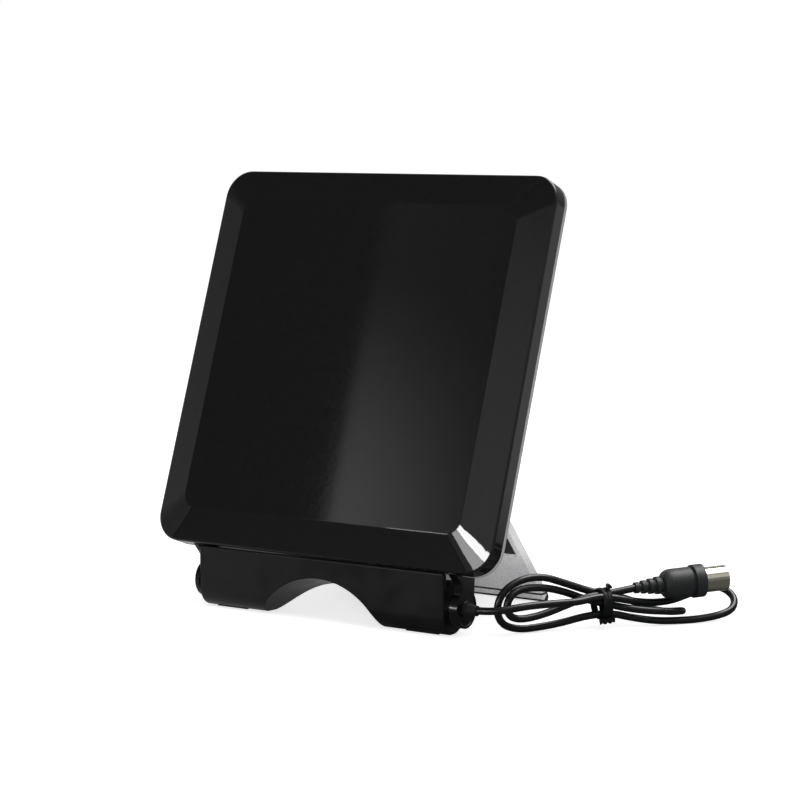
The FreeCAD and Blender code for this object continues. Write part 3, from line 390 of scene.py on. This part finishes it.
def silver_plastic(finish):
    """Bright silver of the leg, with a thin dark line painted across its lower end as a groove's shade."""
    material = flecked_silver("silver_plastic", finish.silver, finish.edge_radius)
    tree = material.node_tree
    base = tree.nodes[SHADER].inputs["Base Color"]
    place = tree.nodes.new("ShaderNodeTexCoord")
    height = tree.nodes.new("ShaderNodeSeparateXYZ")
    tree.links.new(place.outputs["Object"], height.inputs[0])
    # Painted shade: a near-black band on the silver where a groove's shade would fall
    groove = tree.nodes.new("ShaderNodeMath")
    groove.operation = "COMPARE"
    groove.inputs[1].default_value = LEG_GROOVE_Z
    groove.inputs[2].default_value = LEG_GROOVE_W / 2
    tree.links.new(height.outputs["Z"], groove.inputs[0])
    groove_shaded = tree.nodes.new("ShaderNodeMix")
    groove_shaded.data_type = "RGBA"
    groove_shaded.inputs["B"].default_value = LEG_GROOVE_SHADE
    tree.links.new(groove.outputs[0], groove_shaded.inputs["Factor"])
    tree.links.new(base.links[0].from_socket, groove_shaded.inputs["A"])
    tree.links.new(groove_shaded.outputs["Result"], base)
    return material


def shaded_silver_plastic(finish):
    """Silver of the panel's back: the leg's silver darkened, as painted shade for its side rim."""
    return flecked_silver("shaded_silver_plastic", finish.back_silver, finish.edge_radius)


def screw_steel():
    """Plated steel of the screws and pins."""
    return grained_finish(
        "screw_steel", (0.45, 0.44, 0.42), scale=1800.0, detail=4.0, drift=0.2, rough=(0.25, 0.42),
        metallic=1.0)


def bright_nickel():
    """Bright plated contact metal with a warm cast."""
    return grained_finish(
        "bright_nickel", (0.56, 0.55, 0.46), scale=900.0, detail=4.0, drift=0.08, rough=(0.10, 0.18),
        metallic=1.0)


def soft_rubber():
    """Dull black rubber of the pads, the leg's tip and the cord's sleeve."""
    return grained_finish(
        "soft_rubber", (0.005, 0.005, 0.005), scale=3000.0, detail=5.0, drift=0.3, rough=(0.55, 0.75),
        relief=0.00004, specular=0.25)


def cord_jacket(finish):
    """Smooth black cord jacket with the sheen of soft vinyl."""
    return grained_finish(
        "cord_jacket", finish.jacket, scale=500.0, detail=3.0, drift=0.25, rough=(0.26, 0.34),
        relief=0.00002, specular=0.34)


def plug_moulding(finish):
    """Matt charcoal moulding of the plug."""
    return grained_finish(
        "plug_moulding", finish.plug, scale=2800.0, detail=4.0, drift=0.25, rough=(0.45, 0.6),
        relief=0.00005, edge_radius=finish.edge_radius, specular=0.40)


def tie_plastic(finish):
    """Dull black ribbon of the twist tie, with the wire's ridge showing as a ripple."""
    return grained_finish(
        "tie_plastic", finish.jacket, scale=1500.0, detail=3.0, drift=0.3, rough=(0.4, 0.55),
        relief=0.00008, specular=0.12)


def board_laminate():
    """Green lacquered circuit board."""
    return grained_finish(
        "board_laminate", (0.02, 0.11, 0.04), scale=2200.0, detail=2.0, drift=0.2, rough=(0.28, 0.4))


def copper_foil():
    """Copper elements with slight tarnish."""
    return grained_finish(
        "copper_foil", (0.72, 0.36, 0.20), scale=260.0, detail=5.0, drift=0.2, rough=(0.22, 0.4),
        metallic=1.0)


def grey_ferrite():
    """Dull grey ferrite of the matching transformer."""
    return grained_finish(
        "grey_ferrite", (0.07, 0.07, 0.075), scale=3200.0, detail=5.0, drift=0.3, rough=(0.5, 0.7))


def white_insulator():
    """Milky plastic disc inside the plug."""
    return grained_finish(
        "white_insulator", (0.75, 0.74, 0.70), scale=800.0, detail=2.0, drift=0.05, rough=(0.35, 0.5))


def white_table():
    """Matt white of the table, lifted for the camera, and from dark to bright in gloss."""
    material = node_material("white_table")
    tree = material.node_tree
    shader = tree.nodes[SHADER]
    shader.inputs["Roughness"].default_value = FLOOR_ROUGHNESS
    shader.inputs["Specular IOR Level"].default_value = 0.0
    path = tree.nodes.new("ShaderNodeLightPath")
    colour = tree.nodes.new("ShaderNodeMix")
    colour.data_type = "RGBA"
    colour.inputs["A"].default_value = FLOOR_WHITE
    colour.inputs["B"].default_value = FLOOR_IN_GLOSS
    tree.links.new(path.outputs["Is Glossy Ray"], colour.inputs["Factor"])
    tree.links.new(colour.outputs["Result"], shader.inputs["Base Color"])
    place = tree.nodes.new("ShaderNodeTexCoord")
    behind = reach_along(tree, place.outputs["Object"], FLOOR_AWAY)
    bright = rescale(tree, behind, FLOOR_AWAY_SPAN, (0.0, FLOOR_GLOSS_LIFT))
    mirrored = combine(tree, "MULTIPLY", path.outputs["Is Glossy Ray"], bright)
    seen = rescale(tree, path.outputs["Is Camera Ray"], (0.0, 1.0), (0.0, FLOOR_LIFT))
    shader.inputs["Emission Color"].default_value = WHITE
    tree.links.new(combine(tree, "ADD", seen, mirrored), shader.inputs["Emission Strength"])
    return material


def dress(names, material):
    """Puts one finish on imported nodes."""
    for name in names:
        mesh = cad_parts[name].data
        mesh.materials.clear()
        mesh.materials.append(material)


def shared(maker, *settings):
    """A finish that several pieces share, made the first time it is asked for."""
    material = bpy.data.materials.get(maker.__name__)
    if material is None or "finished" not in material:
        material = maker(*settings)
        material["finished"] = True
    return material


def select_side(mesh, side, margin):
    """Selects only the vertices that lie past a margin above (side 1) or below (side -1) the middle."""
    for vertex in mesh.vertices:
        vertex.select = vertex.co.z * side > margin


class ANTENNA_OT_panel(bpy.types.Operator):
    """Finish the panel's covers and their screws"""

    bl_idname = "antenna.panel"
    bl_label = "Finish Panel"

    def execute(self, context):
        finish = context.scene.antenna_finish
        dress(("front_cover",), shared(gloss_black_plastic, finish))
        dress(("rear_cover",), shared(shaded_silver_plastic, finish))
        dress(("cover_screws",), shared(screw_steel))
        return {"FINISHED"}


class ANTENNA_OT_inside(bpy.types.Operator):
    """Finish what the panel holds: board, elements, transformer, clip and lead"""

    bl_idname = "antenna.inside"
    bl_label = "Finish Inside"

    def execute(self, context):
        finish = context.scene.antenna_finish
        dress(("antenna_board",), shared(board_laminate))
        dress(("element_left", "element_right"), shared(copper_foil))
        dress(("matching_transformer",), shared(grey_ferrite))
        dress(("lead_clip",), shared(satin_black_plastic, finish))
        dress(("panel_lead",), shared(cord_jacket, finish))
        return {"FINISHED"}


class ANTENNA_OT_hinges(bpy.types.Operator):
    """Finish the hinge arms, their screws and spacers, the cord's sleeve and the leg's pins"""

    bl_idname = "antenna.hinges"
    bl_label = "Finish Hinges"

    def execute(self, context):
        finish = context.scene.antenna_finish
        dress(("hinge_arm_left", "hinge_arm_right"), shared(smooth_black_plastic, finish))
        dress(("arm_screws", "leg_pins"), shared(screw_steel))
        dress(("tilt_spacers",), shared(bright_nickel))
        dress(("cord_grommet",), shared(soft_rubber))
        return {"FINISHED"}


class ANTENNA_OT_foot(bpy.types.Operator):
    """Finish the foot bar, its screws and its pads"""

    bl_idname = "antenna.foot"
    bl_label = "Finish Foot"

    def execute(self, context):
        finish = context.scene.antenna_finish
        dress(("foot_front", "foot_rear"), shared(satin_black_plastic, finish))
        dress(("foot_screws",), shared(screw_steel))
        dress(("foot_pads",), shared(soft_rubber))
        return {"FINISHED"}


class ANTENNA_OT_leg(bpy.types.Operator):
    """Finish the folding leg, its dark inlay and its tip"""

    bl_idname = "antenna.leg"
    bl_label = "Finish Leg"

    def execute(self, context):
        finish = context.scene.antenna_finish
        dress(("leg_shell",), shared(silver_plastic, finish))
        dress(("leg_insert",), shared(satin_black_plastic, finish))
        dress(("leg_tip",), shared(soft_rubber))
        return {"FINISHED"}


class ANTENNA_OT_plug(bpy.types.Operator):
    """Finish the plug on the cord's end"""

    bl_idname = "antenna.plug"
    bl_label = "Finish Plug"

    def execute(self, context):
        finish = context.scene.antenna_finish
        dress(("plug_body",), shared(plug_moulding, finish))
        dress(("plug_shell", "plug_pin"), shared(bright_nickel))
        dress(("plug_insulator",), shared(white_insulator))
        return {"FINISHED"}


class ANTENNA_OT_tie(bpy.types.Operator):
    """Wind the twist tie round the hank's waist"""

    bl_idname = "antenna.tie"
    bl_label = "Wind Tie"

    def execute(self, context):
        sizes = context.scene.antenna_cord
        pieces = [self.wind(context, sizes, *wind) for wind in TIE_WINDS]
        pieces += [self.twisted_end(context, sizes, *end) for end in TIE_ENDS]
        bpy.ops.object.select_all(action="DESELECT")
        for piece in pieces:
            piece.select_set(True)
        context.view_layer.objects.active = pieces[0]
        bpy.ops.object.join()
        tie = context.active_object
        tie.name = TIE_NAME
        bpy.ops.object.mode_set(mode="EDIT")
        bpy.ops.mesh.select_all(action="SELECT")
        bpy.ops.mesh.normals_make_consistent(inside=False)
        bpy.ops.object.mode_set(mode="OBJECT")
        bpy.ops.object.shade_smooth_by_angle(angle=TIE_SMOOTH_ANGLE)
        tie.data.materials.clear()
        tie.data.materials.append(shared(tie_plastic, context.scene.antenna_finish))
        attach(tie, "foot")
        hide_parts("cord_tie")
        return {"FINISHED"}

    def settle(self, piece, place, lean):
        """Turns a piece into the hank's line and leaves its place in its mesh."""
        turn = Matrix.Rotation(HANK_TURN, 4, "Z")
        piece.matrix_world = Matrix.Translation(hank_to_world(place)) @ turn @ lean
        bpy.ops.object.transform_apply(location=True, rotation=True, scale=True)

    def wind(self, context, sizes, along, skew):
        """One wind of the ribbon: a ring drawn taller and widened along the hank."""
        bpy.ops.object.select_all(action="DESELECT")
        bpy.ops.mesh.primitive_torus_add(
            major_radius=sizes.tie_reach, minor_radius=sizes.tie_wire, major_segments=TIE_WIND_SEGMENTS,
            minor_segments=TIE_RIBBON_SEGMENTS, rotation=(0, math.pi / 2, 0))
        bpy.ops.object.transform_apply(location=True, rotation=True, scale=True)
        ring = context.active_object
        for side in (-1, 1):
            select_side(ring.data, side, TIE_STILL_SHARE * sizes.tie_wire)
            bpy.ops.object.mode_set(mode="EDIT")
            bpy.ops.transform.translate(value=(0, 0, side * sizes.tie_rise))
            bpy.ops.object.mode_set(mode="OBJECT")
        bpy.ops.object.mode_set(mode="EDIT")
        bpy.ops.mesh.select_all(action="SELECT")
        bpy.ops.transform.resize(value=(TIE_RIBBON_WIDTH, 1, 1))
        bpy.ops.object.mode_set(mode="OBJECT")
        self.settle(ring, (along, 0, TIE_MID_Z), Matrix.Rotation(math.radians(skew), 4, "Z"))
        return ring

    def twisted_end(self, context, sizes, base, length, lean_along, lean_across):
        """One end of the tie: both ribbons twisted together and drawn in at the tip."""
        bpy.ops.object.select_all(action="DESELECT")
        bpy.ops.mesh.primitive_circle_add(
            vertices=TIE_END_SIDES, radius=2 * sizes.tie_wire, fill_type="NGON")
        end = context.active_object
        bpy.ops.object.mode_set(mode="EDIT")
        bpy.ops.mesh.select_all(action="SELECT")
        bpy.ops.transform.resize(value=(1, TIE_END_FLAT, 1))
        steps = round(length / TIE_END_STEP)
        for step in range(1, steps + 1):
            bpy.ops.mesh.extrude_region_move(TRANSFORM_OT_translate={"value": (0, 0, TIE_END_STEP)})
            bpy.ops.transform.rotate(
                value=TIE_TWIST, orient_axis="Z", center_override=(0, 0, step * TIE_END_STEP))
        bpy.ops.transform.resize(value=(TIE_END_TAPER, TIE_END_TAPER, 1), center_override=(0, 0, length))
        bpy.ops.object.mode_set(mode="OBJECT")
        round_over = end.modifiers.new("round_over", "SUBSURF")
        round_over.levels = 1
        round_over.render_levels = 1
        bpy.ops.object.modifier_apply(modifier=round_over.name)
        along = Matrix.Rotation(math.radians(lean_along), 4, "Y")
        across = Matrix.Rotation(math.radians(lean_across), 4, "X")
        self.settle(end, base, along @ across)
        return end


class ANTENNA_OT_cord(bpy.types.Operator):
    """Lay the cord from the knuckle through its tied turns to the plug"""

    bl_idname = "antenna.cord"
    bl_label = "Lay Cord"

    def execute(self, context):
        diameter = context.scene.antenna_cord.diameter
        points = [Vector(p) for p in LEAD_ROUTE] + [hank_to_world(p) for p in HANK_TURNS]
        curve = bpy.data.curves.new("antenna_cord", "CURVE")
        curve.dimensions = "3D"
        spline = curve.splines.new("NURBS")
        spline.points.add(len(points) - 1)
        for knot, place in zip(spline.points, points):
            knot.co = (*place, 1)
        spline.order_u = 3
        spline.use_endpoint_u = True
        spline.resolution_u = CORD_STEPS
        curve.bevel_depth = diameter / 2
        curve.bevel_resolution = CORD_ROUND_STEPS
        curve.use_fill_caps = True
        cord = bpy.data.objects.new("antenna_cord", curve)
        context.scene.collection.objects.link(cord)
        jacket = shared(cord_jacket, context.scene.antenna_finish)
        curve.materials.append(jacket)
        dress(("cord_lead", "cord_hank", "cord_tail"), jacket)
        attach(cord, "foot")
        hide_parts("cord_lead", "cord_hank", "cord_tail")
        return {"FINISHED"}


class ANTENNA_OT_stage(bpy.types.Operator):
    """Set the floor, the lights, the world and the camera"""

    bl_idname = "antenna.stage"
    bl_label = "Set Stage"

    def execute(self, context):
        stage = context.scene.antenna_stage
        self.floor(context)
        self.world(context, stage)
        self.lights(context, stage)
        self.camera(context, stage)
        context.scene.view_settings.view_transform = "Standard"
        return {"FINISHED"}

    def floor(self, context):
        """A table wide enough to reach past the picture."""
        bpy.ops.object.select_all(action="DESELECT")
        bpy.ops.mesh.primitive_plane_add(size=FLOOR_SIZE, location=(0, 0, -FLOOR_DROP))
        floor = context.active_object
        floor.name = "table"
        floor.data.materials.append(white_table())

    def world(self, context, stage):
        """White for the camera, even light on dull surfaces, and the studio in gloss."""
        world = bpy.data.worlds.new("studio")
        context.scene.world = world
        world.use_nodes = True
        tree = world.node_tree
        background = tree.nodes["Background"]
        background.inputs["Color"].default_value = WHITE
        path = tree.nodes.new("ShaderNodeLightPath")
        way = tree.nodes.new("ShaderNodeTexCoord")
        even = rescale(tree, path.outputs["Is Camera Ray"], (0.0, 1.0), (stage.ambient, 1.0))
        strength = tree.nodes.new("ShaderNodeMix")
        tree.links.new(path.outputs["Is Glossy Ray"], strength.inputs["Factor"])
        tree.links.new(even, strength.inputs["A"])
        tree.links.new(self.studio(tree, way.outputs["Generated"], stage), strength.inputs["B"])
        tree.links.new(strength.outputs["Result"], background.inputs["Strength"])

    def studio(self, tree, way, stage):
        """What gloss mirrors: an unlit side, a dim open side, a far window's glow and a lamp's halo."""
        axes = tree.nodes.new("ShaderNodeSeparateXYZ")
        tree.links.new(way, axes.inputs[0])
        facing = reach_along(tree, way, stage.dark_side)
        unlit = rescale(tree, facing, DARK_SIDE_SPAN, (1.0, stage.dark_level), smooth=True)
        open_side = rescale(tree, axes.outputs["X"], OPEN_SIDE_SPAN, (1.0, stage.open_level), smooth=True)
        dimmed = combine(tree, "MINIMUM", unlit, open_side)
        lit = combine(tree, "ADD", dimmed, self.glow(tree, way, axes.outputs["Z"], stage.glow_level))
        near_lamp = reach_along(tree, way, HALO_WAY)
        halo = rescale(tree, near_lamp, HALO_SPAN, (0.0, stage.halo_level), smooth=True)
        return combine(tree, "ADD", lit, halo)

    def glow(self, tree, way, height, level):
        """Soft glow of a far window, with a clear near edge, fading sideways and upwards."""
        across = reach_along(tree, way, GLOW_ACROSS)
        edge = rescale(tree, across, GLOW_EDGE, (0.0, level), smooth=True)
        fade = rescale(tree, across, GLOW_FADE, (1.0, 0.0), smooth=True)
        rise = rescale(tree, height, GLOW_RISE, (1.0, GLOW_TOP), smooth=True)
        return combine(tree, "MULTIPLY", combine(tree, "MULTIPLY", edge, fade), rise)

    def lights(self, context, stage):
        """Square lamps that face the antenna."""
        for name, place, size, power, share, on_dull, in_gloss in LAMPS:
            lamp = bpy.data.lights.new(name, "AREA")
            lamp.energy = getattr(stage, power) * share
            lamp.size = size
            light = bpy.data.objects.new(name, lamp)
            light.location = place
            light.rotation_euler = Vector(place).to_track_quat("Z", "Y").to_euler()
            light.visible_diffuse = on_dull
            light.visible_glossy = in_gloss
            context.scene.collection.objects.link(light)

    def camera(self, context, stage):
        """The photo's view."""
        lens = bpy.data.cameras.new("photo_camera")
        lens.sensor_width = SENSOR_WIDTH
        lens.lens = stage.lens
        camera = bpy.data.objects.new("photo_camera", lens)
        camera.location = stage.eye
        camera.rotation_euler = (math.pi / 2 - stage.tilt, 0, stage.turn)
        context.scene.collection.objects.link(camera)
        context.scene.camera = camera


class ANTENNA_PT_sidebar(bpy.types.Panel):
    """Lists the antenna's steps"""

    bl_idname = "ANTENNA_PT_sidebar"
    bl_label = "Antenna"
    bl_space_type = "VIEW_3D"
    bl_region_type = "UI"
    bl_category = "Antenna"

    def draw(self, context):
        for operator in OPERATORS:
            self.layout.operator(operator.bl_idname)


OPERATORS = (
    ANTENNA_OT_panel, ANTENNA_OT_inside, ANTENNA_OT_hinges, ANTENNA_OT_foot, ANTENNA_OT_leg,
    ANTENNA_OT_plug, ANTENNA_OT_tie, ANTENNA_OT_cord, ANTENNA_OT_stage)
GROUPS = {"antenna_finish": AntennaFinish, "antenna_cord": AntennaCord, "antenna_stage": AntennaStage}


def register():
    """Register the classes and the scene's settings."""
    for group in GROUPS.values():
        bpy.utils.register_class(group)
    for operator in OPERATORS:
        bpy.utils.register_class(operator)
    bpy.utils.register_class(ANTENNA_PT_sidebar)
    for name, group in GROUPS.items():
        setattr(bpy.types.Scene, name, bpy.props.PointerProperty(type=group))


def unregister():
    """Take back what register added."""
    for name in GROUPS:
        delattr(bpy.types.Scene, name)
    bpy.utils.unregister_class(ANTENNA_PT_sidebar)
    for operator in OPERATORS:
        bpy.utils.unregister_class(operator)
    for group in GROUPS.values():
        bpy.utils.unregister_class(group)


def main():
    """Make every piece in order."""
    register()
    bpy.ops.antenna.panel()
    bpy.ops.antenna.inside()
    bpy.ops.antenna.hinges()
    bpy.ops.antenna.foot()
    bpy.ops.antenna.leg()
    bpy.ops.antenna.plug()
    bpy.ops.antenna.tie()
    bpy.ops.antenna.cord()
    bpy.ops.antenna.stage()


if __name__ == "__main__":
    main()
